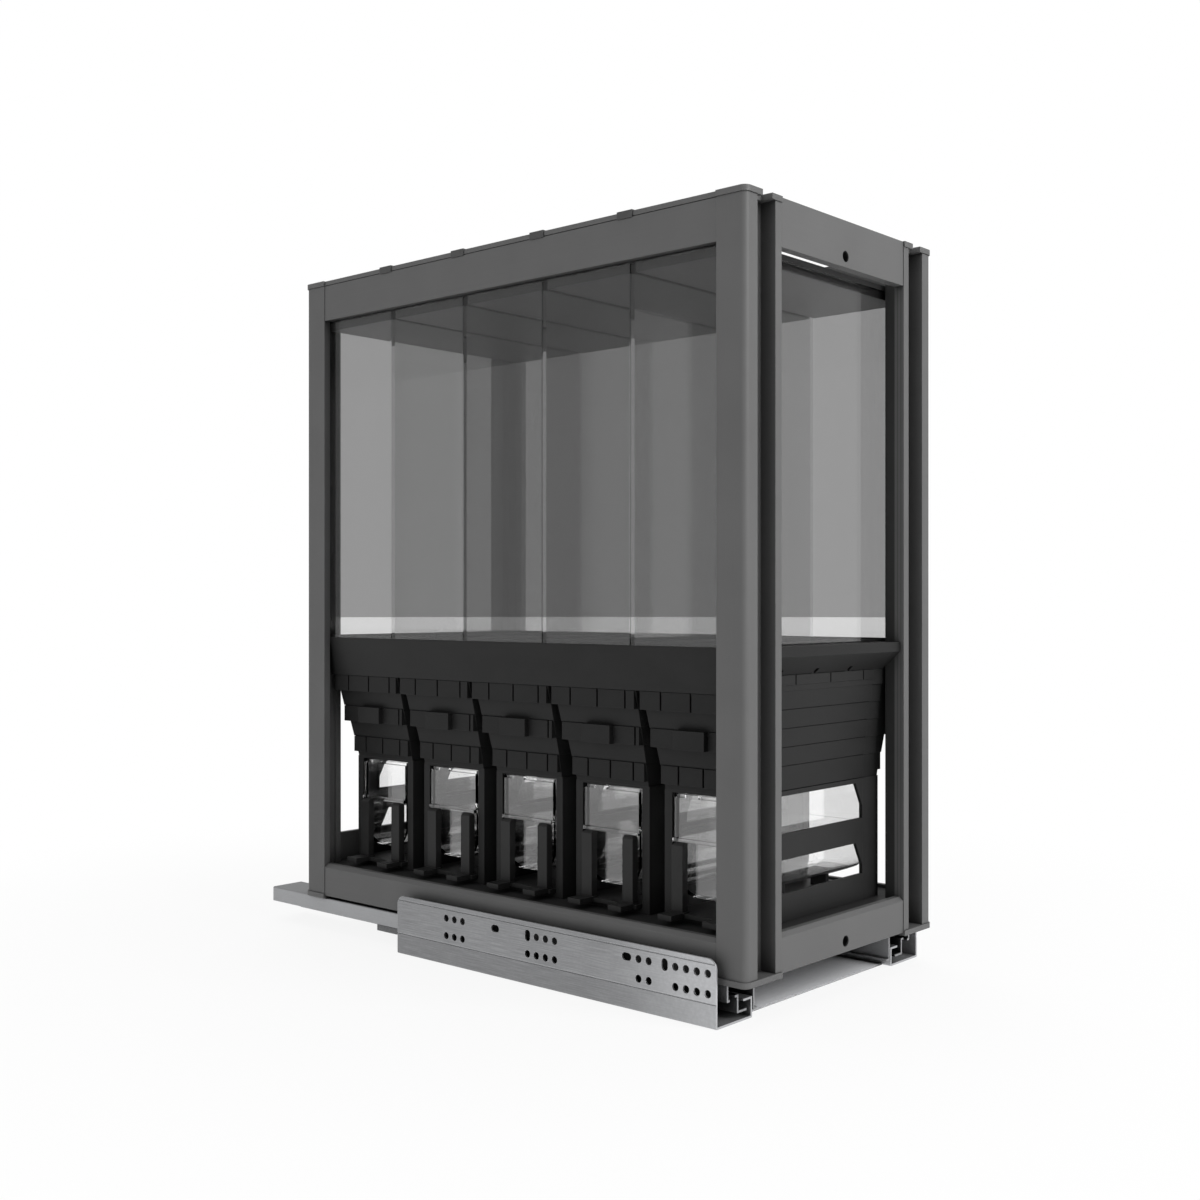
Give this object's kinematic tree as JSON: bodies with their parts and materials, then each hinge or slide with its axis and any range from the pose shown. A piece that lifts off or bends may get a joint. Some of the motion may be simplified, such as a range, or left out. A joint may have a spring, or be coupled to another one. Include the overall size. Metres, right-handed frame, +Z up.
{
  "type": "pull-out grain container rack",
  "caption": "Kitchen pull-out rack on bottom runners: tall smoked containers on stepped hoppers feed clear cups that slide out at the side.",
  "frame": {"origin": "centre of the bounding box's base: the underside of the runners", "axes": "+X the way the rack pulls out, +Y across to the side away from the cups' front plates, +Z up"},
  "size_m": [0.5182, 0.264, 0.5553],
  "materials": {
    "frame_graphite": "graphite grey, fine matt coating",
    "cap_grey": "graphite grey moulded plastic",
    "zinc_screws": "zinc plated",
    "floor_sheet": "dark coated sheet",
    "black_plastic": "black moulded plastic, satin",
    "smoked_clear": "smoked clear moulding, polished",
    "lid_plastic": "black moulded plastic",
    "cup_clear": "crystal clear moulding, polished",
    "zinc_steel": "zinc plated sheet steel",
    "roller_plastic": "natural acetal",
    "cage_plastic": "grey plastic"
  },
  "bodies": {
    "cabinet_side": {"cabinet_member_left": "zinc_steel", "cabinet_member_right": "zinc_steel", "base_plate": "zinc_steel"},
    "middle_slides": {"middle_member_left": "zinc_steel", "middle_member_right": "zinc_steel", "roller_cages": "cage_plastic", "runner_rollers": "roller_plastic"},
    "rack": {"post_front_left": "frame_graphite", "post_front_right": "frame_graphite", "post_rear_left": "frame_graphite", "post_rear_right": "frame_graphite", "top_rail_left": "frame_graphite", "top_rail_right": "frame_graphite", "top_rail_front": "frame_graphite", "top_rail_rear": "frame_graphite", "bottom_rail_left": "frame_graphite", "bottom_rail_right": "frame_graphite", "bottom_rail_front": "frame_graphite", "bottom_rail_rear": "frame_graphite", "post_caps_bottom": "cap_grey", "post_caps_top": "cap_grey", "frame_screws": "zinc_screws", "runner_screws": "zinc_screws", "floor_plate": "floor_sheet", "container_tray": "black_plastic", "container_clips": "cap_grey", "container_1": "smoked_clear", "hopper_1": "black_plastic", "stand_1": "black_plastic", "container_2": "smoked_clear", "hopper_2": "black_plastic", "stand_2": "black_plastic", "container_3": "smoked_clear", "hopper_3": "black_plastic", "stand_3": "black_plastic", "container_4": "smoked_clear", "hopper_4": "black_plastic", "stand_4": "black_plastic", "container_5": "smoked_clear", "hopper_5": "black_plastic", "stand_5": "black_plastic", "drawer_member_left": "zinc_steel", "drawer_member_right": "zinc_steel"},
    "cup_drawer_1": {"cup_1": "cup_clear", "cup_sledge_1": "black_plastic"},
    "lid_lift_1": {"lid_1": "lid_plastic"},
    "cup_drawer_2": {"cup_2": "cup_clear", "cup_sledge_2": "black_plastic"},
    "lid_lift_2": {"lid_2": "lid_plastic"},
    "cup_drawer_3": {"cup_3": "cup_clear", "cup_sledge_3": "black_plastic"},
    "lid_lift_3": {"lid_3": "lid_plastic"},
    "cup_drawer_4": {"cup_4": "cup_clear", "cup_sledge_4": "black_plastic"},
    "lid_lift_4": {"lid_4": "lid_plastic"},
    "cup_drawer_5": {"cup_5": "cup_clear", "cup_sledge_5": "black_plastic"},
    "lid_lift_5": {"lid_5": "lid_plastic"}
  },
  "joints": [
    {"name": "rack_slide", "type": "slide", "parent": "cabinet_side", "child": "rack", "axis": [1, 0, 0], "range_m": [0, 0.45]},
    {"name": "middle_slide", "type": "slide", "parent": "cabinet_side", "child": "middle_slides", "axis": [1, 0, 0], "range_m": [0, 0.225]},
    {"name": "cup_slide_1", "type": "slide", "parent": "rack", "child": "cup_drawer_1", "axis": [0, -1, 0], "range_m": [0, 0.11]},
    {"name": "cup_slide_2", "type": "slide", "parent": "rack", "child": "cup_drawer_2", "axis": [0, -1, 0], "range_m": [0, 0.11]},
    {"name": "cup_slide_3", "type": "slide", "parent": "rack", "child": "cup_drawer_3", "axis": [0, -1, 0], "range_m": [0, 0.11]},
    {"name": "cup_slide_4", "type": "slide", "parent": "rack", "child": "cup_drawer_4", "axis": [0, -1, 0], "range_m": [0, 0.11]},
    {"name": "cup_slide_5", "type": "slide", "parent": "rack", "child": "cup_drawer_5", "axis": [0, -1, 0], "range_m": [0, 0.11]},
    {"name": "lid_lift_1_up", "type": "slide", "parent": "rack", "child": "lid_lift_1", "axis": [0, 0, 1], "range_m": [0, 0.08]},
    {"name": "lid_lift_2_up", "type": "slide", "parent": "rack", "child": "lid_lift_2", "axis": [0, 0, 1], "range_m": [0, 0.08]},
    {"name": "lid_lift_3_up", "type": "slide", "parent": "rack", "child": "lid_lift_3", "axis": [0, 0, 1], "range_m": [0, 0.08]},
    {"name": "lid_lift_4_up", "type": "slide", "parent": "rack", "child": "lid_lift_4", "axis": [0, 0, 1], "range_m": [0, 0.08]},
    {"name": "lid_lift_5_up", "type": "slide", "parent": "rack", "child": "lid_lift_5", "axis": [0, 0, 1], "range_m": [0, 0.08]}
  ],
  "couplings": [
    {"joint": "middle_slide", "follows": "rack_slide", "ratio": 0.5}
  ]
}
